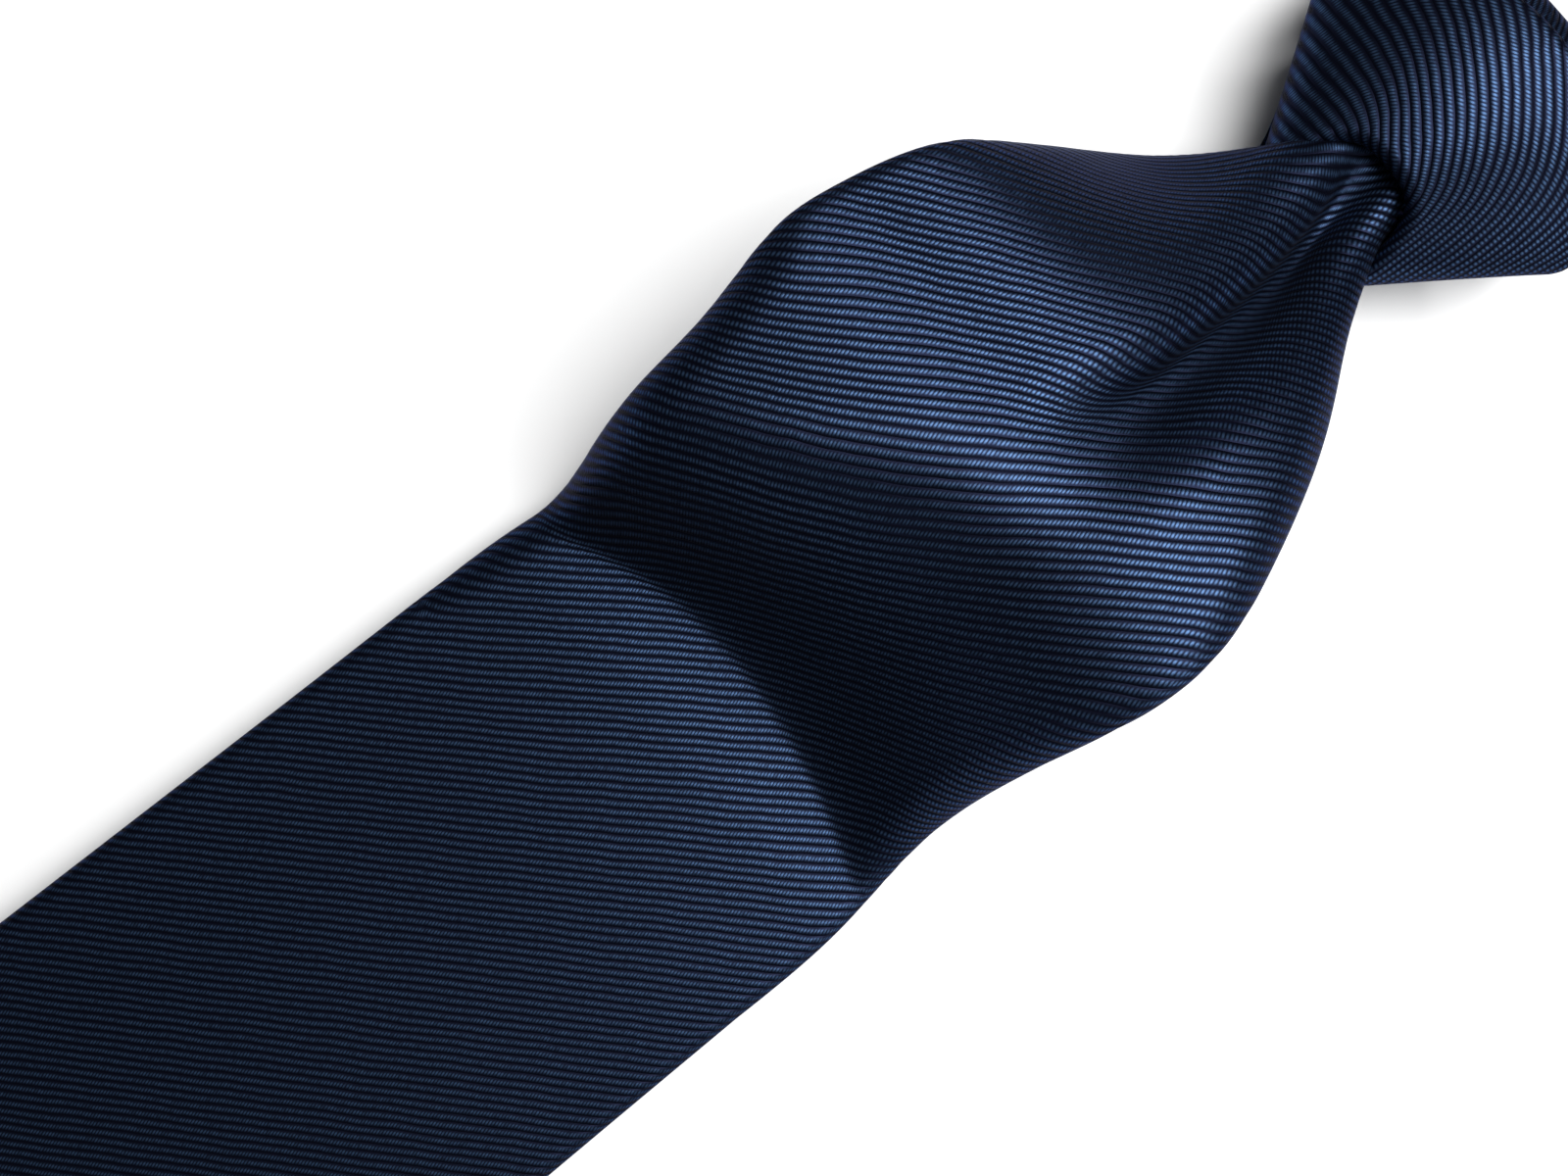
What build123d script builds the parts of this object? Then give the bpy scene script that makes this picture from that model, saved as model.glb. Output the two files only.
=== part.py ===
from build123d import *
import os

# A necktie tied in a four-in-hand knot, lying face up on a flat surface. Millimetres.
# +X is across the tie, +Y runs up the tie to the knot and the neck loop, +Z is up.
# Distances along the tie are measured from the lower lip of the knot, at y = 0, and
# the whole tie is moved at the end so that its box is centred on the origin.

# Front blade: a lined strip that leaves the knot, arches up and comes down flat.
blade_length = 480.0
blade_max_width = 85.0
blade_land_width = 64.0
blade_thickness = 3.6
blade_crest_y = -45.0
blade_crest_z = 34.6
blade_land_y = -96.0
blade_rest_z = 6.6
blade_tip_z = blade_thickness / 2
blade_tack_y = 104.0 - blade_length

# Rear tail: the narrow end, which lies under the blade.
tail_length = 310.0
tail_travel = 20.0
tail_max_width = 38.0
tail_knot_width = 15.6
tail_thickness = 3.2
tail_knot_z = 5.4
tail_top_y = 28.0
tail_tack_y = 58.0 - tail_length

# Silk shell, inner layers and sewing, shared by both ends.
shell_wall = 0.55
edge_wall = 1.2
layer_gap = 0.05
tipping_thickness = 0.5
hem_width = 11.0
slit_width = 0.9
stitch_pitch = 16.0
stitch_length = 7.0
tack_length = 9.0
tack_width = 2.4

# Knot: a flattened cone of wrapped cloth, narrow at the lip and wide at the rim.
knot_length = 30.0
lip_half_width = 12.3
lip_height = 20.5
rim_half_width = 23.0
rim_height = 27.0
wrap_wall = 3.4
rear_wrap_thickness = 3.3
throat_out = 2.0

# Neck loop: a teardrop of band that stands on its edge away from the knot.
loop_start_y = 36.4
loop_end_y = 193.6
loop_half_width = 55.0
band_thickness = 3.2
band_height = 32.0
seam_y = 140.0
seam_thickness = 1.0

# Hinges, as a record of where the cloth bends.
blade_hinge_y, blade_hinge_z = -5.0, 13.3
loop_hinge_y, loop_hinge_z = 35.2, 8.0
blade_start_y = blade_hinge_y - 1.0

# Keeper loop and care label on the back of the blade.
keeper_y = -262.0
keeper_length = 13.0
keeper_width = 44.0
label_y = -222.0

tall = 80.0
shift_y = (blade_length - loop_end_y) / 2


def yz(y, z):
    return (0, y, z)


def blade_centre_line():
    """Side view of the middle of the blade, from the knot to the tip."""
    arch = Spline(
        yz(blade_start_y, blade_hinge_z),
        yz(-24, 25.0),
        yz(blade_crest_y, blade_crest_z),
        yz(-62, 27.5),
        yz(-77, 14.0),
        yz(blade_land_y, 7.2),
        yz(-125, blade_rest_z),
        tangents=[yz(-1.0, 1.0), yz(-1.0, 0)],
    )
    past_tail_y = -tail_length - tail_travel - 4
    down_y = past_tail_y - 34
    over_tail = Line(yz(-125, blade_rest_z), yz(past_tail_y, blade_rest_z))
    step = Spline(
        yz(past_tail_y, blade_rest_z),
        yz(down_y, blade_tip_z),
        tangents=[yz(-1, 0), yz(-1, 0)],
    )
    end = Line(yz(down_y, blade_tip_z), yz(-blade_length, blade_tip_z))
    return [arch, over_tail, step, end]


def tail_centre_line():
    """Side view of the middle of the tail, from inside the knot to its tip."""
    flat_z = tail_thickness / 2
    in_knot = Line(yz(tail_top_y, tail_knot_z), yz(-1, tail_knot_z))
    fall = Spline(yz(-1, tail_knot_z), yz(-34, flat_z), tangents=[yz(-1, 0), yz(-1, 0)])
    flat = Line(yz(-34, flat_z), yz(-tail_length, flat_z))
    return [in_knot, fall, flat]


def side_layer(centre_line, low, high):
    """A sheet seen from the side, between two heights about the centre line."""
    lower = [edge.moved(Location((0, 0, low))) for edge in centre_line]
    upper = [edge.moved(Location((0, 0, high))) for edge in centre_line]
    first = Line(lower[0] @ 0, upper[0] @ 0)
    last = Line(lower[-1] @ 1, upper[-1] @ 1)
    return make_face(Wire(lower + upper + [first, last]))


def curved_layer(centre_line, plan, low, high):
    """A bent sheet: its side view, cut to its outline from above."""
    sides = extrude(side_layer(centre_line, low, high), tall, dir=(1, 0, 0), both=True)
    return sides & extrude(plan, tall)


def mirrored_plan(right_edges):
    """A closed outline from the edges of its right-hand side."""
    left_edges = [edge.mirror(Plane.YZ) for edge in right_edges]
    ends = []
    for at, index in ((0, 0), (1, -1)):
        left_point, right_point = left_edges[index] @ at, right_edges[index] @ at
        if (left_point - right_point).length > 0.01:
            ends.append(Line(left_point, right_point))
    return make_face(Wire(right_edges + left_edges + ends))


def blade_plan(inset=0.0):
    """The blade from above: gathered at the knot, tapering out to its point."""
    half_max = blade_max_width / 2
    widest_y = half_max - blade_length
    gather = Spline(
        (11.4 - inset, blade_start_y - inset),
        (23.5 - inset, -21),
        (30.0 - inset, -42),
        (31.4 - inset, -66),
        (blade_land_width / 2 - inset, blade_land_y),
        tangents=[(1.0, -1.0), (0.05, -1.0)],
    )
    side = Line((blade_land_width / 2 - inset, blade_land_y), (half_max - inset, widest_y))
    point = Line((half_max - inset, widest_y), (0, inset * 1.4 - blade_length))
    return mirrored_plan([gather, side, point])


def tail_plan(inset=0.0):
    """The tail from above: narrow in the knot, then nearly parallel to its point."""
    half_max = tail_max_width / 2
    half_knot = tail_knot_width / 2
    widest_y = half_max - tail_length
    in_knot = Line((half_knot - inset, tail_top_y - inset), (half_knot - inset, -2))
    spread = Spline(
        (half_knot - inset, -2),
        (half_max - 2.5 - inset, -45),
        tangents=[(0, -1), (0.02, -1)],
    )
    side = Line((half_max - 2.5 - inset, -45), (half_max - inset, widest_y))
    point = Line((half_max - inset, widest_y), (0, inset * 1.4 - tail_length))
    return mirrored_plan([in_knot, spread, side, point])


def tip_kite(length, half_width, tack_y, grow=0.0):
    """The lined opening at the back of an end, from the hem up to the bar tack."""
    corner_x = half_width - hem_width + grow
    low_y = hem_width * 1.4 - length - grow * 1.4
    corner_y = low_y + corner_x
    top_y = tack_y + grow
    return make_face(Polyline(
        (0, low_y), (corner_x, corner_y), (0, top_y), (-corner_x, corner_y), close=True))


def folded_end(centre_line, plan_of, thickness, length, half_width, tack_y):
    """Silk folded round its lining: the shell with its back seam, and the layers in it."""
    half = thickness / 2
    wall_low = -half + shell_wall
    lining_low = wall_low + tipping_thickness + 2 * layer_gap
    outer = curved_layer(centre_line, plan_of(), -half, half)
    hollow = curved_layer(centre_line, plan_of(edge_wall), wall_low, half - shell_wall)
    back = side_layer(centre_line, -half - 1, wall_low + layer_gap)
    seam_slit = extrude(back, slit_width / 2, dir=(1, 0, 0), both=True)
    opening = curved_layer(centre_line, tip_kite(length, half_width, tack_y),
                           -half - 1, wall_low + layer_gap)
    inner_plan = plan_of(edge_wall + layer_gap)
    return {
        "shell": outer - hollow - seam_slit - opening,
        "interlining": curved_layer(centre_line, inner_plan, lining_low,
                                    half - shell_wall - layer_gap),
        "tipping": curved_layer(centre_line, tip_kite(length, half_width, tack_y, 3.0),
                                wall_low + layer_gap, wall_low + layer_gap + tipping_thickness),
    }


def seam_stitches(centre_line, thickness, from_y, to_y):
    """Slip stitches that lie in the back seam, one small bar each."""
    half = thickness / 2
    wall = side_layer(centre_line, -half + 0.1, -half + shell_wall - layer_gap)
    thread = extrude(wall, slit_width / 2 - 0.1, dir=(1, 0, 0), both=True)
    bars = Part()
    y = from_y
    while y + stitch_length < to_y:
        middle = Location((0, y + stitch_length / 2, tall / 2 - 5))
        bars += thread & (middle * Box(4, stitch_length, tall))
        y += stitch_pitch
    return bars


def bar_tack(y):
    """A dense cross stitch that closes the top of the lined opening."""
    depth = shell_wall - 0.1
    return Location((0, y, 0.05 + depth / 2)) * Box(tack_length, tack_width, depth)


def rounded_section(y, half_width, low_z, high_z, radius):
    """One cross-section of the knot, standing across the tie."""
    plane = Plane(origin=(0, y, (low_z + high_z) / 2), x_dir=(1, 0, 0), z_dir=(0, -1, 0))
    return plane * RectangleRounded(2 * half_width, high_z - low_z, radius)


def knot_cone(inset, low_z, radius):
    """The knot's outer form, or the space inside it, from lip to rim."""
    return loft([
        rounded_section(0, lip_half_width - inset, low_z, lip_height - inset, radius),
        rounded_section(knot_length, rim_half_width - inset, low_z, rim_height - inset, radius),
    ])


def knot_parts():
    """The wraps of the knot and what passes through them."""
    outer = knot_cone(0, 0, 7.5)
    inside = knot_cone(wrap_wall, rear_wrap_thickness + 0.1, 1.5)
    above = Location((0, 0, tall / 2 + rear_wrap_thickness + 0.1)) * Box(tall, 2 * tall, tall)
    front_wrap = (outer - inside) & above
    rear_wrap = extrude(make_face(Polyline(
        (-10.5, 1), (10.5, 1), (20.5, 28), (-20.5, 28), close=True)), rear_wrap_thickness)
    throat = loft([
        rounded_section(-throat_out, 8.4, 10.0, 16.5, 3.0),
        rounded_section(23.8, 11.0, 10.0, 21.6, 3.0),
    ])
    first_cross = loft([
        rounded_section(1.0, 8.4, 7.5, 9.8, 1.0),
        rounded_section(23.8, 11.0, 7.5, 9.8, 1.0),
    ])
    up_pass = Location((0, 28.6, 15.0)) * fillet(
        Box(24, 8.8, 14.0).edges().filter_by(Axis.X), 3.2)
    stub_right = Location((14.6, 27.6, loop_hinge_z)) * Box(band_thickness, 10.0, 6.0)
    return {
        "knot_front_wrap": front_wrap,
        "knot_rear_wrap": rear_wrap,
        "knot_first_cross": first_cross,
        "knot_up_pass": up_pass,
        "blade_throat": throat,
        "neck_band_root_right": stub_right,
        "neck_band_root_left": mirror(stub_right, Plane.YZ),
    }


def loop_outline(inset):
    """The teardrop of the neck loop from above."""
    right = Spline(
        (13.4 + band_thickness - inset, 30.0),
        (33.5 - inset, 72.0),
        (50.0 - inset, 105.0),
        (loop_half_width - inset, 137.0),
        (41.0 - inset * 0.8, 174.0 - inset * 0.6),
        (0, loop_end_y - inset),
        tangents=[(0.25, 1.0), (-1.0, 0)],
    )
    return mirrored_plan([right])


def loop_side(inset):
    """The loop from the side: low beside the knot, standing on its edge beyond."""
    return make_face(Polyline(
        yz(loop_start_y, 6 + inset), yz(62, inset), yz(loop_end_y + 1, inset),
        yz(loop_end_y + 1, band_height - inset), yz(118, band_height - inset),
        yz(57, 12.5 - inset), yz(loop_start_y, 10 - inset), close=True))


def loop_ring(thickness, height_inset):
    """The whole band of the loop, or a thinner one inside it."""
    skin = (band_thickness - thickness) / 2
    ring = extrude(loop_outline(skin), tall) - extrude(loop_outline(skin + thickness), tall)
    return ring & extrude(loop_side(height_inset), tall, dir=(1, 0, 0), both=True)


def neck_loop_parts():
    """Three silk panels joined by two bias seams round one interlining."""
    band = loop_ring(band_thickness, 0)
    cavity = loop_ring(band_thickness - 2 * shell_wall, 1.0)
    lining = loop_ring(band_thickness - 2 * shell_wall - 0.2, 1.1)
    skin = band - cavity
    half_seam = seam_thickness / 2
    beyond = Location((0, seam_y + half_seam + tall, 0)) * Box(3 * tall, 2 * tall, 2 * tall)
    before = Location((0, seam_y - half_seam - tall, 0)) * Box(3 * tall, 2 * tall, 2 * tall)
    at_seam = Location((0, seam_y, 0)) * Box(3 * tall, seam_thickness, 2 * tall)
    right_half = Location((1.5 * tall, 0, 0)) * Box(3 * tall, 8 * tall, 2 * tall)
    left_half = mirror(right_half, Plane.YZ)
    return {
        "neck_band_right": skin & before & right_half,
        "neck_band_left": skin & before & left_half,
        "neck_band_back": skin & beyond,
        "neck_seam_right": skin & at_seam & right_half,
        "neck_seam_left": skin & at_seam & left_half,
        "neck_interlining": lining,
    }


def keeper_parts():
    """The self-fabric keeper across the back of the blade, its end tacks and the label."""
    back_z = blade_rest_z - blade_thickness / 2
    keeper = Location((0, keeper_y, back_z - 0.6)) * Box(keeper_width, keeper_length, 0.9)
    tack = Box(1.4, keeper_length - 2, 0.9)
    tack_x = keeper_width / 2 + 0.8
    tacks = [Location((side * tack_x, keeper_y, back_z - 0.6)) * tack for side in (-1, 1)]
    label = Location((0, label_y, back_z - 0.25)) * Box(40, 18, 0.4)
    return {
        "keeper_loop": keeper,
        "keeper_tacks": Compound(children=tacks),
        "care_label": label,
    }


def blade_parts():
    line = blade_centre_line()
    tack_y = blade_tack_y
    layers = folded_end(line, blade_plan, blade_thickness, blade_length,
                        blade_max_width / 2, tack_y)
    parts = {"blade_" + name: shape for name, shape in layers.items()}
    parts["blade_slip_stitch"] = seam_stitches(line, blade_thickness, tack_y + 6, -14)
    parts["blade_bar_tack"] = bar_tack(tack_y + 3)
    parts["blade_shell"] -= parts["blade_bar_tack"]
    return parts


def tail_parts():
    line = tail_centre_line()
    tack_y = tail_tack_y
    layers = folded_end(line, tail_plan, tail_thickness, tail_length,
                        tail_max_width / 2, tack_y)
    parts = {"tail_" + name: shape for name, shape in layers.items()}
    parts["tail_slip_stitch"] = seam_stitches(line, tail_thickness, tack_y + 6, -6)
    parts["tail_bar_tack"] = bar_tack(tack_y + 3)
    parts["tail_shell"] -= parts["tail_bar_tack"]
    return parts


os.makedirs("parts", exist_ok=True)
groups = [blade_parts(), keeper_parts(), tail_parts(), knot_parts(), neck_loop_parts()]
for group in groups:
    for name, shape in group.items():
        export_step(Location((0, shift_y, 0)) * shape, "parts/" + name + ".step")
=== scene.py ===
import math

import bmesh
import bpy
import numpy as np
from mathutils import Matrix, Vector


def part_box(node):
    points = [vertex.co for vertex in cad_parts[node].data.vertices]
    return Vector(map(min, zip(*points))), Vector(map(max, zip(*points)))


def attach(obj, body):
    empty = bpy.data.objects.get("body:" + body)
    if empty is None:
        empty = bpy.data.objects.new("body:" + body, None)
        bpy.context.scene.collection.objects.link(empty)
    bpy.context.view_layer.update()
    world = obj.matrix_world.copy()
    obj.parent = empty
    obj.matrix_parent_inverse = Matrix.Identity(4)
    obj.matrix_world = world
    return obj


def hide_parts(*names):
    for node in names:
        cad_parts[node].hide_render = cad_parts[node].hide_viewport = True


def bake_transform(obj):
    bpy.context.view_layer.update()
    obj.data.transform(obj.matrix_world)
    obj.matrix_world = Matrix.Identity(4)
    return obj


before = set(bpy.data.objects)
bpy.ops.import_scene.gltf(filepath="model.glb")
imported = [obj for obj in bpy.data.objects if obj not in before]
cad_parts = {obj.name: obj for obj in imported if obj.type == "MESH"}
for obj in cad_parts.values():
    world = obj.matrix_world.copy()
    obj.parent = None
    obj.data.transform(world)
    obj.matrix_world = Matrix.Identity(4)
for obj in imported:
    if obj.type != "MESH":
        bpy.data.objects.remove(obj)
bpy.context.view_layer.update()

mm = 0.001
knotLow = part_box("knot_front_wrap")[0]
bladeLow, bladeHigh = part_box("blade_shell")
tailLow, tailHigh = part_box("tail_shell")
loopLow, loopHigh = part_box("neck_band_back")
lipY = knotLow.y          # lengths along the tie are counted from the knot's lip
clothScale = 0.01         # UV units for one millimetre of flat cloth
sideColumns = 60          # points across each side of the blade, from its fold line to its edge


def curveThrough(points):
    # smooth curve through a few (x, y) points, as a function of x
    x, y = np.array(points, float).T
    h, n = np.diff(x), len(x)
    rows, right = np.eye(n), np.zeros(n)
    for i in range(1, n - 1):
        rows[i, i - 1:i + 2] = h[i - 1], 2 * (h[i - 1] + h[i]), h[i]
        right[i] = 6 * ((y[i + 1] - y[i]) / h[i] - (y[i] - y[i - 1]) / h[i - 1])
    bend = np.linalg.solve(rows, right)

    def value(at):
        at = np.clip(np.asarray(at, float), x[0], x[-1])
        i = np.clip(np.searchsorted(x, at) - 1, 0, n - 2)
        a, b, w = x[i + 1] - at, at - x[i], h[i]
        return (bend[i] * a ** 3 + bend[i + 1] * b ** 3) / (6 * w) \
            + (y[i] / w - bend[i] * w / 6) * a + (y[i + 1] / w - bend[i + 1] * w / 6) * b

    return value


def smoothStep(x, low, high):
    t = np.clip((np.asarray(x, float) - low) / (high - low), 0, 1)
    return t * t * (3 - 2 * t)


def unit(v):
    return v / np.maximum(np.linalg.norm(v, axis=-1, keepdims=True), 1e-9)


def alongRow(table, at):
    # reads a table of rows at fractions 0..1 across each row
    k = table.shape[1] - 1
    f = np.clip(at, 0, 1) * k
    i = np.minimum(f.astype(int), k - 1)
    w = (f - i).reshape(f.shape + (1,) * (table.ndim - 2))
    r = np.arange(table.shape[0])[:, None]
    return table[r, i] * (1 - w) + table[r, i + 1] * w


def newObject(bm, name):
    mesh = bpy.data.meshes.new(name)
    bm.to_mesh(mesh)
    bm.free()
    piece = bpy.data.objects.new(name, mesh)
    bpy.context.scene.collection.objects.link(piece)
    for face in mesh.polygons:
        face.use_smooth = True
    return piece


def pointTable(x, y, z):
    # a table of points; each of x, y and z is a table, a row, a column or one number
    return np.stack(np.broadcast_arrays(x, y, z), axis=-1)


def gridMesh(place, flat):
    # a grid whose points are laid out by the place table, with the flat cloth's sizes as its UV map
    rows, columns = place.shape[:2]
    bm = bmesh.new()
    bmesh.ops.create_grid(bm, x_segments=columns - 1, y_segments=rows - 1, size=1.0)
    uv = bm.loops.layers.uv.new("cloth")
    where = {}
    for v in bm.verts:
        i = round((v.co.y + 1) / 2 * (rows - 1))
        j = round((v.co.x + 1) / 2 * (columns - 1))
        where[v] = (i, j)
        v.co = place[i, j]
    for face in bm.faces:
        for loop in face.loops:
            loop[uv].uv = flat[where[loop.vert]]
    return bm


def someRows(sheet, first, last):
    return {**sheet, "points": sheet["points"][first:last], "across": sheet["across"][first:last],
            "along": sheet["along"][first:last]}


def solid(piece, thickness):
    # gives a sheet its thickness inwards, for good
    shell = piece.modifiers.new("thickness", "SOLIDIFY")
    shell.thickness = thickness
    shell.offset = -1
    bpy.context.view_layer.update()
    done = bpy.data.meshes.new_from_object(piece.evaluated_get(bpy.context.evaluated_depsgraph_get()))
    piece.modifiers.clear()
    piece.data = done
    return piece


def foldedStrip(name, sheet, half, shape, opening=None):
    # A strip of silk folded round its lining. sheet holds the middle surface as a table of points
    # (rows down the strip, across it), the flat cloth's millimetres across and along, and which
    # way its face looks. half is half the strip's thickness in each row, and opening is how far
    # from the centre the two back edges stop, as a fraction of the half width.
    middle, across, along = sheet["points"], sheet["across"], sheet["along"]
    rows = middle.shape[0]
    normal = sheet["facing"] * unit(np.cross(np.gradient(middle, axis=1), np.gradient(middle, axis=0)))
    half = np.broadcast_to(half, (rows,)).astype(float)
    opening = np.zeros(rows) if opening is None else opening
    inwards = np.linspace(0, 1, shape["back"] + 1)[None, 1:]
    lapped = np.where(opening > 0.001, 0.0, shape["lap"])[:, None]
    tFront = np.linspace(-1, 1, shape["front"] + 1)[None].repeat(rows, 0)
    tRight = 1 - (1 - opening[:, None] + lapped) * inwards
    tLeft = (-1 + (1 - opening[:, None] - lapped) * inwards)[:, ::-1]

    def layer(t, side):
        f = (t + 1) / 2
        return alongRow(middle, f) + side * alongRow(normal, f) * half[:, None, None]

    def rolled(edge, beside, turn):
        e, n = unit(middle[:, edge] - middle[:, beside])[:, None], normal[:, edge][:, None]
        a = turn[None, :, None]
        return middle[:, edge][:, None] + half[:, None, None] * (n * np.cos(a) + e * np.sin(a))

    turn = np.linspace(0, math.pi, shape["roll"] + 2)[1:-1]
    raised = smoothStep(np.abs(tRight), 0.15, 0.02) * (lapped > 0) * shape["lapHeight"]
    right = layer(tRight, -1) - alongRow(normal, (tRight + 1) / 2) * raised[..., None]
    place = np.concatenate([layer(tLeft, -1), rolled(0, 1, turn[::-1]), layer(tFront, 1),
                            rolled(-1, -2, turn), right], axis=1)
    edge, bend = across[:, -1:], half[:, None] / mm
    u = np.concatenate([
        -edge - math.pi * bend - (edge + alongRow(across, (tLeft + 1) / 2)),
        -edge - bend * turn[None, ::-1],
        alongRow(across, (tFront + 1) / 2),
        edge + bend * turn[None],
        edge + math.pi * bend + (edge - alongRow(across, (tRight + 1) / 2))], axis=1)
    flat = sheet.get("lay", layStraight)(u, np.broadcast_to(along[:, None], u.shape))
    bm = gridMesh(place, flat * clothScale)
    if sheet["facing"] < 0:
        bmesh.ops.reverse_faces(bm, faces=bm.faces)
    return solid(newObject(bm, name), shape["silk"])


def layStraight(u, v):
    return np.stack([u, v], axis=-1)


def innerSheet(name, sheet, thickness, width, level=0.0):
    # a single layer that follows the same middle surface, cut to a fraction of its width
    rows = sheet["points"].shape[0]
    t = np.linspace(-1, 1, 41)[None].repeat(rows, 0) * np.broadcast_to(width, (rows,))[:, None]
    place, across = alongRow(sheet["points"], (t + 1) / 2), alongRow(sheet["across"], (t + 1) / 2)
    normal = sheet["facing"] * unit(np.cross(np.gradient(place, axis=1), np.gradient(place, axis=0)))
    flat = layStraight(across, np.broadcast_to(sheet["along"][:, None], across.shape))
    bm = gridMesh(place + normal * (level + thickness / 2), flat * clothScale)
    if sheet["facing"] < 0:
        bmesh.ops.reverse_faces(bm, faces=bm.faces)
    return solid(newObject(bm, name), thickness)


def stripOpening(strip, rows):
    # where the back edges part to show the lining at the tip
    toTip = strip["length"] - rows
    wide = np.minimum(strip["halfWidest"], toTip)
    room = strip["halfWidest"] - strip["hem"]
    spread = (strip["tackAt"] - toTip) / (strip["tackAt"] - strip["halfWidest"]) * room
    byHem = toTip - strip["hem"] * 1.4
    return np.clip(np.minimum(spread, byHem) / np.maximum(wide, 1), 0, 0.97)


def makeTipping(name, strip, sheet, thickness, lap, level):
    # the lining of the point fills the opening and reaches a little under its edges
    opening = stripOpening(strip, sheet["rows"])
    first, last = np.flatnonzero(opening > 0.01)[[0, -1]]
    first, last = first - 1, last + 2
    return innerSheet(name, someRows(sheet, first, last), thickness, opening[first:last] + lap, level)


blade = {
    "inside": 14,                  # how far it starts inside the knot, in millimetres
    "length": (lipY - bladeLow.y) / mm,
    "halfWidest": (bladeHigh.x - bladeLow.x) / 2 / mm,
    "half": 1.8 * mm,
    "silk": 0.45 * mm,
    "hem": 11,
    "tackAt": 104,                 # the bar tack's distance from the tip
    "flat": (0.178, 0.500),        # the silk's cut size, in metres
    "liningFlat": (0.080, 0.490),
    "liningEnds": (12, -4),        # the first and last rows that hold wool
    "tippingFlat": (0.072, 0.094),
    "tippingArea": 0.0029,         # the tipping is a kite, in square metres
    "shapedTo": 112,               # below this distance from the lip it is plain and flat
    "shapedHalf": 32.7,            # half its width there, edge rolls included
    "finerFrom": 330,
}

# seen from above: how far each side of what shows reaches from the middle, edge rolls included
bladeLeft = curveThrough([(-14, 6.6), (-5, 7.8), (0, 11.6), (8, 18.6), (18, 24.3), (30, 28.1), (40, 31.3),
                          (50, 32.5), (62, 30.8), (75, 30.2), (92, 32.0), (112, 32.7)])
bladeRight = curveThrough([(-14, 6.6), (-5, 7.6), (0, 10.0), (8, 14.0), (18, 19.5), (30, 24.6), (42, 28.5),
                           (52, 29.2), (62, 28.4), (75, 28.4), (92, 31.6), (112, 32.7)])
dimpleAt = curveThrough([(-14, 0.8), (-3, 1.6), (7, 3.2), (18, 4.0), (30, 4.2), (45, 3.6),
                         (60, 3.2), (112, 5.0)])
# seen from the side: the top of the middle of its thickness, out of the knot and over its arch
bladeTop = curveThrough([(-14, 16.0), (-6, 16.6), (2, 18.0), (14, 23.2), (26, 30.2), (38, 34.2), (48, 34.9),
                         (60, 34.9), (95, 34.0)])
arch = {
    "flat": 6.8,              # height of the middle of the blade where it lies over the tail
    "halfWide": 31,
    "dropRight": 38,          # where each side starts to come down, from the lip
    "dropLeft": 66,
    "landMiddle": 85.0,       # where it meets the flat blade
    "landEdge": 92.0,
    "ease": 1.75,             # how soft the landing is, and how much softer on the left
    "easeLeft": 0.45,
    "dimple": 5.0,            # the dimple's place on the cloth, to the right of its middle
    "halfCloth": 27.45,       # half the cloth's width at the lip, and how much wider it gets per millimetre
    "flare": 0.031,
    "rollTurn": math.radians(165),     # how far an edge is rolled under
    "smoothing": 14,          # passes that even out neighbouring rows
    "pastTail": 24,           # beyond the tail's tip the blade comes down this much, over this length
    "tipDrop": 4.2,
    "tipDropOver": 34,
}


# The dimple's left and right sides. Each has a wall, as a share of the side, the wall's steepness and
# the slope of the flank outside it, in degrees. Each pair is the value at the lip and its change further
# out. The flank's slope fades away between two distances from the lip.
dimpleSides = {
    -1: {"wall": (0.26, -0.02), "steep": (80, -8), "flank": (46, -8), "crown": 0.2, "fades": (9, 34)},
    1: {"wall": (0.26, 0.28), "steep": (62, -16), "flank": (26, -14), "crown": 0.34, "fades": (12, 40)},
}


def dimpleSlope(side, f, p):
    # slope of the cloth in degrees, at a fraction f of the way from the dimple to its edge
    form = dimpleSides[side]
    out = smoothStep(p, 0, 22)
    deep = (0.25 + 0.75 * smoothStep(p, -9, -1)) * (1 - smoothStep(p, 28, 52))
    wall, steep, flank = (form[key][0] + form[key][1] * out for key in ("wall", "steep", "flank"))
    steep = steep * deep
    flank = flank * (1 - smoothStep(p, *form["fades"]))
    up = np.sin(np.pi * np.clip(f / wall, 0, 1)) ** 1.1
    return steep * up - flank * smoothStep(f, wall * 0.92, wall + form["crown"])


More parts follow.
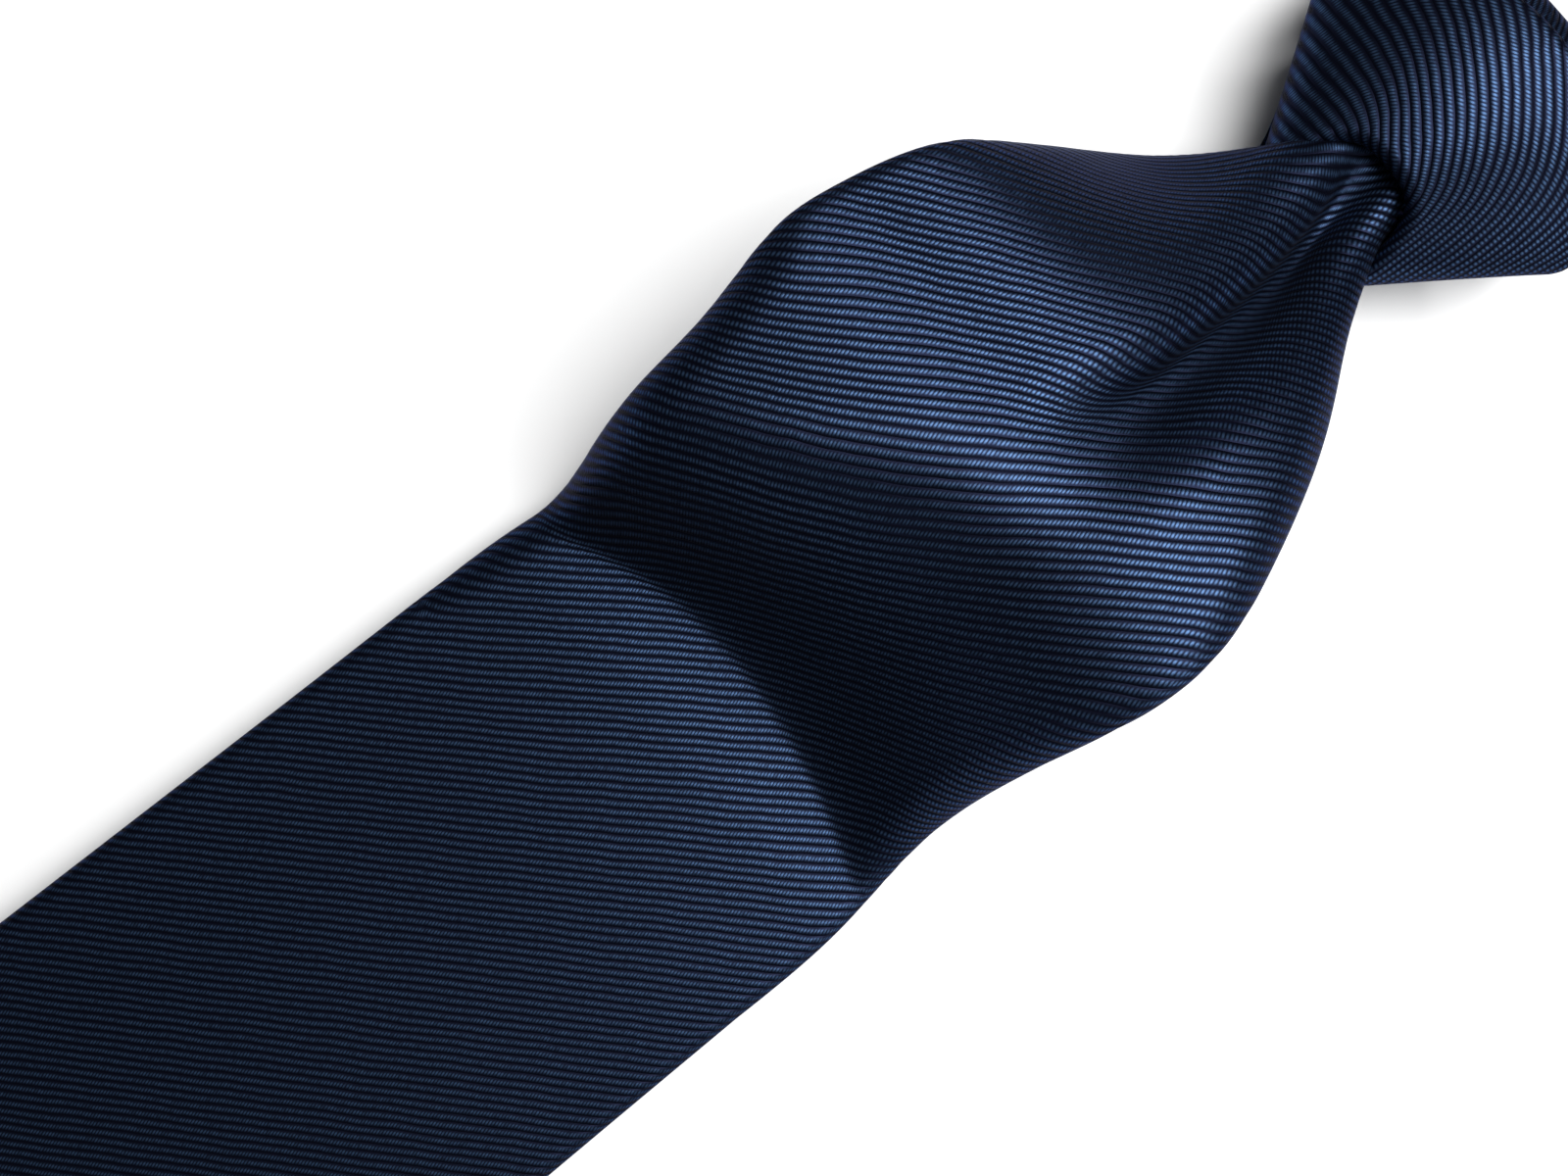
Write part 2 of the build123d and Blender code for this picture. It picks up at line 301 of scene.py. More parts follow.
def dimpleSide(side, p, cloth, reach):
    # one side of the dimple: what the width from above can't hold is rolled under at the edge
    s = np.linspace(0, cloth, sideColumns)
    step = cloth / (sideColumns - 1)
    radius = 2.2 + 1.6 * smoothStep(p, -4, 20)
    turnLength = arch["rollTurn"] * radius
    under = reach + side * dimpleAt(p)       # how far the rolled edge can go before the middle

    def shaped(strength, rollAt):
        slope = np.radians(strength * dimpleSlope(side, s / cloth, p))
        rolled = np.clip((s - rollAt) / turnLength, 0, 1)
        slope = slope * (1 - rolled) - arch["rollTurn"] * rolled
        rest = max(cloth - rollAt - turnLength, 0.01)
        size = np.where(s > rollAt + turnLength, min(1, max(under - 1.5, 0.5) / rest), 1.0) * step
        across, up = np.cos(slope) * size, np.sin(slope) * size
        x = np.concatenate([[0], np.cumsum((across[1:] + across[:-1]) / 2)])
        z = np.concatenate([[0], np.cumsum((up[1:] + up[:-1]) / 2)])
        return x, z

    def settle(low, high, shape):
        for _ in range(22):
            middle = (low + high) / 2
            low, high = (middle, high) if shape(middle) else (low, middle)
        return (low + high) / 2

    if shaped(1, cloth)[0].max() > reach:
        rollAt = settle(0, cloth, lambda at: shaped(1, at)[0].max() < reach)
        x, z = shaped(1, rollAt)
    else:
        x, z = shaped(settle(0, 1, lambda k: shaped(k, cloth)[0].max() > reach), cloth)
        x = x * reach / x.max()
    return side * x, z, side * s


def dimpledRow(p):
    halfCloth = arch["halfCloth"] + arch["flare"] * p
    roll, at = bladeHalf(p), dimpleAt(p)
    left = dimpleSide(-1, p, halfCloth + arch["dimple"], bladeLeft(p) - roll + at)
    right = dimpleSide(1, p, halfCloth - arch["dimple"], bladeRight(p) - roll - at)
    x = np.concatenate([left[0][::-1], right[0][1:]]) + at
    z = np.concatenate([left[1][::-1], right[1][1:]])
    u = np.concatenate([left[2][::-1], right[2][1:]]) + arch["dimple"]
    return x, z - z.max(), u


def archHeight(x, p):
    # the arch drops later on its left, and lands in a curved crease
    side = np.clip(x / arch["halfWide"], -1, 1)
    toLeft = smoothStep(-x, -10, 28)
    drop = arch["dropRight"] + (arch["dropLeft"] - arch["dropRight"]) * toLeft
    land = arch["landMiddle"] + (arch["landEdge"] - arch["landMiddle"] + 3 * toLeft) * side ** 2
    t = np.clip((p - drop) / (land - drop), 0, 1)
    ease = arch["ease"] + arch["easeLeft"] * toLeft
    fall = (1 - t) ** ease * (1 + ease * t + ease * (ease + 1) / 2 * t * t)
    top = bladeTop(p) - 1.5 * smoothStep(-x, 8, 30) * smoothStep(p, 55, 80)
    swell = 0.5 * smoothStep(p, 84, 99) * (1 - smoothStep(p, 100, 140))
    return arch["flat"] + swell + (top - arch["flat"]) * fall


def bladeHalf(p):
    # half its thickness, pressed flat in the knot
    return 1.25 + (blade["half"] / mm - 1.25) * smoothStep(p, -4, 24)


def bladeRows():
    # close together where the cloth is shaped, and one exactly at the corners of the point
    widestAt = blade["length"] - blade["halfWidest"]
    shaped = np.arange(-blade["inside"], blade["shapedTo"], 1.0)
    plain = np.arange(blade["shapedTo"], blade["finerFrom"], 3.0)
    lined = np.arange(blade["finerFrom"], widestAt - 1, 2.5)
    point = np.linspace(widestAt, blade["length"] - 0.4, 24)
    return np.concatenate([shaped, plain, lined, point])


def bladeSheet():
    rows = bladeRows()
    widestAt = blade["length"] - blade["halfWidest"]
    pastTail = (lipY - tailLow.y) / mm + arch["pastTail"]
    roll = blade["half"] / mm
    dimpled = np.array([dimpledRow(p) for p in rows if p < blade["shapedTo"]])
    for _ in range(arch["smoothing"]):
        dimpled[1:-1] = (dimpled[:-2] + 2 * dimpled[1:-1] + dimpled[2:]) / 4
    points, across = [], []
    for row, p in enumerate(rows):
        if p < blade["shapedTo"]:
            x, z, u = dimpled[row]
            z = z + archHeight(x, p)
        else:
            wider = (blade["halfWidest"] - blade["shapedHalf"]) / (widestAt - blade["shapedTo"])
            wide = blade["shapedHalf"] - roll + (p - blade["shapedTo"]) * wider
            if p > widestAt:
                wide = blade["length"] - p
            seam = arch["dimple"] * wide / arch["halfWide"] * (1 - smoothStep(p, 116, 220))
            left = np.linspace(-wide, seam, sideColumns)
            right = np.linspace(seam, wide, sideColumns)
            u = np.concatenate([left, right[1:]])
            x = u
            z = archHeight(x, p) - arch["tipDrop"] * smoothStep(p, pastTail, pastTail + arch["tipDropOver"])
        points.append(pointTable(x * mm, lipY - p * mm, z * mm))
        across.append(u)
    points, across = np.array(points), np.array(across)
    middle = points[:, sideColumns - 1]
    along = np.concatenate([[0], np.cumsum(np.linalg.norm(np.diff(middle, axis=0), axis=1))]) / mm
    return {"points": points, "across": across, "along": along, "facing": -1, "rows": rows}


def makeBlade():
    sheet = bladeSheet()
    half = np.minimum(bladeHalf(sheet["rows"]), (blade["length"] - sheet["rows"]) * 0.4) * mm
    shape = {"front": 96, "roll": 5, "back": 16, "lap": 0.02, "lapHeight": 0.5 * mm, "silk": blade["silk"]}
    shell = foldedStrip("silkBlade", sheet, half, shape, stripOpening(blade, sheet["rows"]))
    first, last = blade["liningEnds"]
    narrowed = (0.3 + 0.63 * smoothStep(sheet["rows"], 2, 40))[first:last]
    lining = innerSheet("woolInBlade", someRows(sheet, first, last), 1.4 * mm, narrowed, -0.35 * mm)
    tipping = makeTipping("bladeTipping", blade, sheet, 0.3 * mm, 0.07, -1.3 * mm)
    print("blade made,", len(shell.data.polygons), "faces")
    return shell, lining, tipping, sheet


tail = {
    "inside": 27,
    "length": (lipY - tailLow.y) / mm,
    "halfWidest": (tailHigh.x - tailLow.x) / 2 / mm,
    "half": 1.5 * mm,
    "silk": 0.45 * mm,
    "hem": 9,
    "tackAt": 58,
    "flat": (0.082, 0.340),
    "liningFlat": (0.034, 0.325),
    "liningEnds": (1, -3),
    "tippingFlat": (0.030, 0.050),
    "tippingArea": 0.0007,
}


def tailSheet():
    widestAt = tail["length"] - tail["halfWidest"]
    rows = np.concatenate([np.arange(-tail["inside"], 50, 2.0), np.arange(50, widestAt - 1, 4.0),
                           np.linspace(widestAt, tail["length"] - 0.4, 16)])
    wide = curveThrough([(-27, 7.3), (-2, 7.4), (12, 9.5), (28, 14.0), (46, 16.3), (80, 16.9),
                         (widestAt, 19.0)])
    halfWide = np.minimum(wide(rows), np.maximum(tail["length"] - rows, 0.1))
    height = 5.6 - 3.7 * smoothStep(rows, 1, 34)
    t = np.linspace(-1, 1, 61)[None]
    x = halfWide[:, None] * t
    crown = 0.5 * (1 - t ** 2) * (1 - smoothStep(rows, 20, 60))[:, None]
    points = pointTable(x * mm, lipY - rows[:, None] * mm, (height[:, None] + crown) * mm)
    return {"points": points, "across": x, "along": rows + tail["inside"], "facing": -1, "rows": rows}


def makeTail():
    sheet = tailSheet()
    half = np.minimum(tail["half"], (tail["length"] - sheet["rows"]) * mm * 0.4)
    shape = {"front": 40, "roll": 4, "back": 12, "lap": 0.03, "lapHeight": 0.1 * mm, "silk": tail["silk"]}
    shell = foldedStrip("silkTail", sheet, half, shape, stripOpening(tail, sheet["rows"]))
    lining = innerSheet("woolInTail", someRows(sheet, *tail["liningEnds"]), 1.2 * mm, 0.9, -0.3 * mm)
    tipping = makeTipping("tailTipping", tail, sheet, 0.25 * mm, 0.1, -1.0 * mm)
    print("tail made,", len(shell.data.polygons), "faces")
    return shell, lining, tipping, sheet


knot = {
    "lipHalf": 9.6, "rimHalf": 21.6,      # half widths, outside
    "lipTop": 20.5, "rimTop": 25.2,       # heights, outside
    "low": 3.2,
    "lipArch": 7.0,                       # how far the lip's top draws back
    "rimSide": 18.2, "rimArch": 8.2,
    "half": 1.35 * mm,
    "silk": 0.45 * mm,
    "frontFlat": (0.038, 0.092), "rearFlat": (0.036, 0.040),
    "upFlat": (0.058, 0.034), "crossFlat": (0.040, 0.020),
    "ribCentre": (49, 88),                # the ribs curve round a point off to one side
    "ribRadius": 90,
}


def layCurved(u, v):
    # the wrap's ribs bend as it is pulled round, so its cloth is laid out round a centre
    x = v * (1 + 0.006 * u) - knot["ribCentre"][0]
    y = 0.8 * u + 13 - knot["ribCentre"][1]
    out, turn = np.hypot(x, y), np.arctan2(-x, -y) * knot["ribRadius"]
    return np.stack([(out - turn) / math.sqrt(2), (out + turn) / math.sqrt(2)], axis=-1)


def frontWrapSheet():
    turn = np.radians(np.linspace(-160, 160, 141))[:, None]
    w = np.linspace(0, 1, 31)[None]
    inset = knot["half"] / mm
    wide = knot["lipHalf"] - inset + (knot["rimHalf"] - knot["lipHalf"]) * w
    top = knot["lipTop"] - inset + (knot["rimTop"] - knot["lipTop"]) * np.sin(w * math.pi / 2)
    low = knot["low"] + inset + 0 * w
    c, s = np.cos(turn), np.sin(turn)
    peaked = 0.9 + 0.3 * w
    x = 1.0 + 0.6 * w + wide * np.sign(s) * np.abs(s) ** peaked
    z = (top + low) / 2 + (top - low) / 2 * np.sign(c) * np.abs(c) ** peaked
    lip = inset + knot["lipArch"] * smoothStep(np.cos(turn - 0.12), -0.1, 1.0)
    rim = knot["rimSide"] - inset + knot["rimArch"] * smoothStep(c, -0.3, 1.0)
    y = lip + (rim - lip) * w
    points = pointTable(x * mm, lipY + y * mm, z * mm)
    middle = points[:, 15]
    around = np.concatenate([[0], np.cumsum(np.linalg.norm(np.diff(middle, axis=0), axis=1))]) / mm
    across = np.broadcast_to((w - 0.5) * 22, x.shape)
    return {"points": points, "across": across, "along": around - around[-1] / 2, "facing": -1,
            "lay": layCurved}


def rearWrapSheet():
    # the flat pass behind the knot, its sides turning up inside the front wrap
    x = np.linspace(-1, 1, 61)[:, None]
    w = np.linspace(0, 1, 21)[None]
    wide = 8.0 + 9.6 * w
    y = 2.0 + 17.0 * w + 2.5 * (1 - x ** 2) * w
    z = 2.0 + 3.3 * smoothStep(np.abs(x), 0.75, 1.0)
    points = pointTable(x * wide * mm, lipY + y * mm, z * mm)
    across = np.broadcast_to((w - 0.5) * 20, (61, 21))
    return {"points": points, "across": across, "along": x[:, 0] * 18, "facing": 1}


def upPassSheet():
    # the blade comes up behind the knot, folds over the neck band and goes down under the front wrap
    along = np.linspace(0, 1, 41)
    y = curveThrough([(0, 20), (0.25, 27), (0.45, 31), (0.6, 31.2), (0.8, 27), (1, 20)])(along)
    z = curveThrough([(0, 7.5), (0.25, 8.2), (0.45, 11.5), (0.6, 17.0), (0.8, 20.2), (1, 19.8)])(along)
    t = np.linspace(-1, 1, 31)[None]
    wide = 13.0 + 2.5 * np.sin(along * math.pi)[:, None]
    sag = -1.2 * t ** 2 * np.sin(along * math.pi)[:, None]
    points = pointTable(wide * t * mm, lipY + (y[:, None] + sag) * mm, z[:, None] * mm)
    length = np.concatenate([[0], np.cumsum(np.hypot(np.diff(y), np.diff(z)))])
    return {"points": points, "across": np.broadcast_to(t * 26, (41, 31)), "along": length, "facing": 1}


def firstCrossSheet():
    # the first pass of the blade, hidden between the tail and the throat
    x = np.linspace(-9.5, 9.5, 31)[:, None]
    w = np.linspace(0, 1, 13)[None]
    z = 8.6 - 0.6 * (x / 9.5) ** 4
    points = pointTable(x * mm, lipY + (2.5 + 18 * w) * mm, z * mm)
    across = np.broadcast_to((w - 0.5) * 18, (31, 13))
    return {"points": points, "across": across, "along": x[:, 0], "facing": -1}


def makeKnot():
    fine = {"front": 40, "roll": 7, "back": 12, "lap": 0.03, "lapHeight": 0.0, "silk": knot["silk"]}
    plain = {"front": 24, "roll": 5, "back": 8, "lap": 0.03, "lapHeight": 0.0, "silk": knot["silk"]}
    wraps = [
        foldedStrip("knotFrontWrap", frontWrapSheet(), knot["half"], fine),
        foldedStrip("knotRearWrap", rearWrapSheet(), 1.2 * mm, plain),
        foldedStrip("knotUpPass", upPassSheet(), 1.3 * mm, plain),
        foldedStrip("knotFirstCross", firstCrossSheet(), 1.0 * mm, plain),
    ]
    print("knot made,", len(wraps), "pieces")
    return wraps


loop = {
    "half": 1.5 * mm,
    "rootHalfWide": 8.0,
    "halfWide": (loopHigh.z - loopLow.z) / 2 / mm,
    "lean": 84,              # degrees, the band stands on its edge but leans a little
    "seamAt": 140,           # the bias seams' distance behind the knot's lip
    "flat": (0.068, 0.440),
    "liningFlat": (0.028, 0.430),
    "liningEnds": (2, -2),
    "back": 192.0,           # its furthest point behind the lip
    "plan": [(11.5, 21), (13.0, 34), (18.0, 50), (27.5, 71), (40.5, 98), (50.2, 122),
             (52.6, 141), (46.5, 165), (32.5, 183), (15.5, 190.6)],    # its right half from above
}


def loopSheet():
    left = [(-x, y) for x, y in reversed(loop["plan"])]
    plan = np.array(loop["plan"] + [(0, loop["back"])] + left)
    step = np.concatenate([[0], np.cumsum(np.linalg.norm(np.diff(plan, axis=0), axis=1))])
    arc = np.linspace(0, step[-1], 181)
    x, y = curveThrough(list(zip(step, plan[:, 0])))(arc), curveThrough(list(zip(step, plan[:, 1])))(arc)
    ahead = unit(np.stack([np.gradient(x), np.gradient(y), 0 * x], axis=-1))
    out = np.cross(ahead, [0, 0, 1.0])
    fromKnot = np.minimum(arc, step[-1] - arc)
    turn = np.radians(loop["lean"]) * smoothStep(fromKnot, 6, 100)
    face = np.cos(turn)[:, None] * np.array([0, 0, 1.0]) + np.sin(turn)[:, None] * out
    wider = loop["halfWide"] - 0.4 - loop["rootHalfWide"]
    wide = loop["rootHalfWide"] + wider * smoothStep(fromKnot, 8, 80)
    side = np.cross(ahead, face)
    reach = wide * np.abs(side[:, 2]) + loop["half"] / mm * np.abs(face[:, 2])
    height = reach + 1.5 + (7.2 - reach[0]) * (1 - smoothStep(fromKnot, 4, 50))
    t = np.linspace(-1, 1, 41)
    centre = np.stack([x, lipY / mm + y, height], axis=-1)
    cup = 1.2 * np.sin(turn)[:, None] * (t[None] ** 2 - 0.5)
    points = centre[:, None] + side[:, None] * (wide[:, None] * t[None])[..., None] \
        - face[:, None] * cup[..., None]
    across = wide[:, None] * t[None]
    return {"points": points * mm, "across": across, "along": arc, "facing": 1}


def makeLoop():
    sheet = loopSheet()
    shape = {"front": 32, "roll": 4, "back": 14, "lap": 0.03, "lapHeight": 0.15 * mm, "silk": 0.45 * mm}
    shell = foldedStrip("silkNeckBand", sheet, loop["half"], shape)
    lining = innerSheet("woolInNeckBand", someRows(sheet, *loop["liningEnds"]), 1.4 * mm, 0.9, -0.7 * mm)
    print("neck loop made,", len(shell.data.polygons), "faces")
    return shell, lining, sheet


trim = {
    "keeperAt": 262,             # distances from the knot's lip, in millimetres
    "keeper": (22, 6.5),         # half its width and half its height
    "keeperHalf": 0.45 * mm,
    "keeperFlat": (0.028, 0.045),
    "labelAt": 222,
    "label": (20, 9),
    "labelFlat": (0.018, 0.040),
    "stitch": 7,
    "stitchPitch": 16,
    "thread": 0.28 * mm,         # a thread's radius
}


def backSpots(sheet, half, places, side=-1):
    # points on a strip's back, each with a thread's direction and the way the back looks there
    points = sheet["points"]
    normal = sheet["facing"] * unit(np.cross(np.gradient(points, axis=1), np.gradient(points, axis=0)))
    spots = []
    for t, row in places:
        column = round((t + 1) / 2 * (points.shape[1] - 1))
        out = side * normal[row, column]
        ahead = unit(points[row + 1, column] - points[row - 1, column])
        spots.append((points[row, column] + out * half, ahead, out))
    return spots


def threads(name, spots, length, radius):
    # one small rounded stitch at each spot
    bm = bmesh.new()
    for place, ahead, out in spots:
        ahead, out = Vector(ahead), Vector(out)
        turn = Matrix((ahead.cross(out).normalized(), ahead, out)).transposed().to_4x4()
        size = Matrix.Diagonal((radius, length / 2, radius, 1))
        bmesh.ops.create_uvsphere(bm, u_segments=8, v_segments=6, radius=1,
                                  matrix=Matrix.Translation(place) @ turn @ size)
    return newObject(bm, name)


def rowAt(sheet, p):
    return int(np.argmin(np.abs(sheet["rows"] - p)))


def slipStitches(name, strip, sheet, first):
    last = strip["length"] - strip["tackAt"] - 8
    places = [(-0.03, rowAt(sheet, p)) for p in np.arange(first, last, trim["stitchPitch"])]
    return threads(name, backSpots(sheet, strip["half"], places), trim["stitch"] * mm, trim["thread"])


def barTack(name, strip, sheet):
    # a dense row of stitches that closes the top of the lined opening
    row = rowAt(sheet, strip["length"] - strip["tackAt"] - 3)
    place, ahead, out = backSpots(sheet, strip["half"], [(0, row)])[0]
    spots = [(place + np.array([x * mm, 0, 0]), ahead, out) for x in np.arange(-4.5, 4.6, 0.5)]
    return threads(name, spots, 2.6 * mm, trim["thread"])


def backHeight(sheet):
    # the height of the blade's back where the keeper crosses it, in millimetres
    return (sheet["points"][rowAt(sheet, trim["keeperAt"]), sideColumns - 1, 2] - blade["half"]) / mm


def makeKeeper(sheet):
    # a flat loop of silk across the blade's back
    wide, tall = trim["keeper"]
    x = np.linspace(-wide, wide, 45)[:, None]
    y = np.linspace(-tall, tall, 17)[None]
    z = backHeight(sheet) - 0.5 - 0.45 * np.cos(x / wide * math.pi / 2)
    points = pointTable(x, lipY / mm - trim["keeperAt"] + y, z) * mm
    strip = {"points": points, "across": np.broadcast_to(y, (45, 17)), "along": x[:, 0], "facing": 1}
    folds = {"front": 16, "roll": 4, "back": 6, "lap": 0.05, "lapHeight": 0.0, "silk": 0.3 * mm}
    return foldedStrip("keeperLoop", strip, trim["keeperHalf"], folds)


def makeLabel(sheet):
    # blank, with its lower corners lifting a little
    wide, tall = trim["label"]
    x = np.linspace(-wide, wide, 41)[:, None]
    y = np.linspace(-tall, tall, 19)[None]
    lifted = 0.15 * (np.abs(x) / wide) ** 6 * (1 - y / tall) / 2
    place = pointTable(x, lipY / mm - trim["labelAt"] + y, backHeight(sheet) - 0.6 - lifted) * mm
    bm = gridMesh(place, np.stack(np.broadcast_arrays(x, y), axis=-1) * clothScale)
    return solid(newObject(bm, "blankLabel"), 0.22 * mm)


def keeperTacks(sheet):
    # a short row of stitches at each end of the keeper
    ends = []
    height = (backHeight(sheet) - 0.62) * mm
    for side in (-1, 1):
        for y in np.arange(-5.5, 5.6, 0.9):
            spot = Vector((side * 22.2 * mm, lipY + (y - trim["keeperAt"]) * mm, height))
            ahead = Vector((1, 0, 0.18 * side)).normalized()
            out = Vector((-0.18 * side, 0, 1)).normalized()
            ends.append((spot, ahead, out))
    return threads("keeperStitches", ends, 2.4 * mm, trim["thread"])


def neckSeam(name, sheet, side):
    # a bias seam's stitches across both faces of the band
    y = sheet["points"][:, 20, 1] - lipY - loop["seamAt"] * mm
    row = int(np.argmin(np.where(sheet["points"][:, 20, 0] * side > 0, np.abs(y), 1)))
    places = [(t, row) for t in np.linspace(-0.9, 0.9, 17)]
    spots = backSpots(sheet, loop["half"], places) + backSpots(sheet, loop["half"], places, side=1)
    return threads(name, spots, 1.2 * mm, trim["thread"])


silkLook = {
    "ribPitch": 1.02,        # millimetres
    "threadPitch": 0.41,
    "drift": 0.5,            # how far a rib wanders
    "slant": -0.6,           # how far the threads lean across a rib, in thread pitches
    "twist": 0.045,          # the threads' relief, against the rib's own
    "paintedGlints": 2.2,           # how much the painted highlight varies from thread to thread, as painted glints
    # the first colour is the cloth's dark navy, which also stands as painted shade in the grooves; the rib
    # colour is a painted highlight on the rib crowns and thread dashes
    "navyAndGrooveShade": (0.006, 0.007, 0.016, 1),
    "rib": (0.046, 0.087, 0.172, 1),
    "bump": 0.1 * mm,
    "roughness": 0.4,
    "metallic": 0.85,
    "edge": (0.12, 0.18, 0.36, 1),     # the shine's tint at a glancing angle
}


def node(tree, kind, **settings):
    made = tree.nodes.new(kind)
    for key, value in settings.items():
        setattr(made, key, value)
    return made


def maths(tree, operation, first, second=None, third=None):
    made = node(tree, "ShaderNodeMath", operation=operation)
    for socket, value in zip(made.inputs, (first, second, third)):
        if value is None:
            continue
        if isinstance(value, (int, float)):
            socket.default_value = value
        else:
            tree.links.new(value, socket)
    return made.outputs[0]


def noise(tree, place, scale, detail):
    made = node(tree, "ShaderNodeTexNoise")
    made.inputs["Scale"].default_value = scale
    made.inputs["Detail"].default_value = detail
    tree.links.new(place, made.inputs["Vector"])
    return made.outputs["Fac"]


def ribbedSilk(name, look):
    material = bpy.data.materials.new(name)
    material.use_nodes = True
    tree = material.node_tree
    shader = tree.nodes["Principled BSDF"]
    cloth = node(tree, "ShaderNodeUVMap", uv_map="cloth")
    turned = node(tree, "ShaderNodeMapping")
    turned.inputs["Rotation"].default_value = (0, 0, math.radians(-45))
    turned.inputs["Scale"].default_value = (1 / clothScale, 1 / clothScale, 1)
    tree.links.new(cloth.outputs[0], turned.inputs[0])
    apart = node(tree, "ShaderNodeSeparateXYZ")
    tree.links.new(turned.outputs[0], apart.inputs[0])
    across, down = apart.outputs[0], apart.outputs[1]
    wander = maths(tree, "MULTIPLY", noise(tree, turned.outputs[0], 0.12, 2), look["drift"])
    rib = maths(tree, "DIVIDE", maths(tree, "ADD", across, wander), look["ribPitch"])
    place = maths(tree, "SUBTRACT", maths(tree, "MULTIPLY", maths(tree, "FRACT", rib), 2.0), 1.0)
    crown = maths(tree, "SUBTRACT", 1.0, maths(tree, "POWER", maths(tree, "ABSOLUTE", place), 2.0))
    slant = maths(tree, "MULTIPLY", place, look["slant"])
    thread = maths(tree, "ADD", maths(tree, "DIVIDE", down, look["threadPitch"]), slant)
    strand = maths(tree, "SINE", maths(tree, "MULTIPLY", thread, 2 * math.pi))
    twist = maths(tree, "MULTIPLY", strand, crown)
    height = maths(tree, "MULTIPLY_ADD", twist, look["twist"], crown)
    bump = node(tree, "ShaderNodeBump")
    bump.inputs["Strength"].default_value = 1.0
    bump.inputs["Distance"].default_value = look["bump"]
    tree.links.new(height, bump.inputs["Height"])
    tree.links.new(bump.outputs[0], shader.inputs["Normal"])
    # painted highlights: bright thread dashes on each rib's crown, varied at random as painted glints, over
    # the dark navy that stays as painted shade in the grooves
    paintedDashes = maths(tree, "MULTIPLY_ADD", strand, 0.5, 0.5)
    paintedGlints = maths(tree, "MULTIPLY", noise(tree, turned.outputs[0], 1.5, 1), look["paintedGlints"])
    paintedHighlight = maths(tree, "MULTIPLY", maths(tree, "MULTIPLY", paintedDashes, paintedGlints), maths(tree, "POWER", crown, 4.0))
    colour = node(tree, "ShaderNodeMix", data_type="RGBA")
    tree.links.new(paintedHighlight, colour.inputs["Factor"])
    colour.inputs["A"].default_value = look["navyAndGrooveShade"]
    colour.inputs["B"].default_value = look["rib"]
    tree.links.new(colour.outputs["Result"], shader.inputs["Base Color"])
    shader.inputs["Roughness"].default_value = look["roughness"]
    shader.inputs["Metallic"].default_value = look["metallic"]
    shader.inputs["Specular IOR Level"].default_value = 0.4
    shader.inputs["Specular Tint"].default_value = look["edge"]
    shader.inputs["Sheen Weight"].default_value = 0.012
    shader.inputs["Sheen Roughness"].default_value = 0.4
    shader.inputs["Sheen Tint"].default_value = (0.62, 0.62, 0.8, 1)
    return material


def plainCloth(name, colour, roughness, grain):
    # a fine plain weave, for the pieces that aren't the ribbed silk
    material = bpy.data.materials.new(name)
    material.use_nodes = True
    tree = material.node_tree
    shader = tree.nodes["Principled BSDF"]
    place = node(tree, "ShaderNodeTexCoord")
    weave = node(tree, "ShaderNodeTexWave", bands_direction="X")
    weft = node(tree, "ShaderNodeTexWave", bands_direction="Y")
    fuzz = node(tree, "ShaderNodeTexNoise")
    for texture in (weave, weft, fuzz):
        texture.inputs["Scale"].default_value = grain
        tree.links.new(place.outputs["Object"], texture.inputs["Vector"])
    both = maths(tree, "MULTIPLY", weave.outputs["Fac"], weft.outputs["Fac"])
    height = maths(tree, "ADD", both, fuzz.outputs["Fac"])
    bump = node(tree, "ShaderNodeBump")
    bump.inputs["Strength"].default_value = 0.6
    bump.inputs["Distance"].default_value = 0.1 * mm
    tree.links.new(height, bump.inputs["Height"])
    tree.links.new(bump.outputs[0], shader.inputs["Normal"])
    tone = node(tree, "ShaderNodeMix", data_type="RGBA")
    tree.links.new(height, tone.inputs["Factor"])
    tone.inputs["A"].default_value = [c * 0.7 for c in colour] + [1]
    tone.inputs["B"].default_value = list(colour) + [1]
    tree.links.new(tone.outputs["Result"], shader.inputs["Base Color"])
    shader.inputs["Roughness"].default_value = roughness
    return material


def finish(piece, material):
    piece.data.materials.clear()
    piece.data.materials.append(material)


silk = ribbedSilk("navy ribbed silk", silkLook)
wool = plainCloth("brushed wool", (0.62, 0.58, 0.5), 0.9, 900)
satin = plainCloth("navy lining", (0.012, 0.018, 0.05), 0.35, 1500)
threadStuff = plainCloth("navy thread", (0.02, 0.035, 0.09), 0.5, 2500)
labelStuff = plainCloth("blank label", (0.05, 0.07, 0.13), 0.5, 1500)

bladeShell, bladeLining, bladeTipping, bladeMiddle = makeBlade()
tailShell, tailLining, tailTipping, tailMiddle = makeTail()
wrap, rearWrap, upPass, firstCross = makeKnot()
loopShell, loopLining, loopMiddle = makeLoop()
print("all cloth made")

for piece in (bladeShell, tailShell, wrap, rearWrap, upPass, firstCross, loopShell):
    finish(piece, silk)
for piece in (bladeLining, tailLining, loopLining):
    finish(piece, wool)
for piece in (bladeTipping, tailTipping):
    finish(piece, satin)

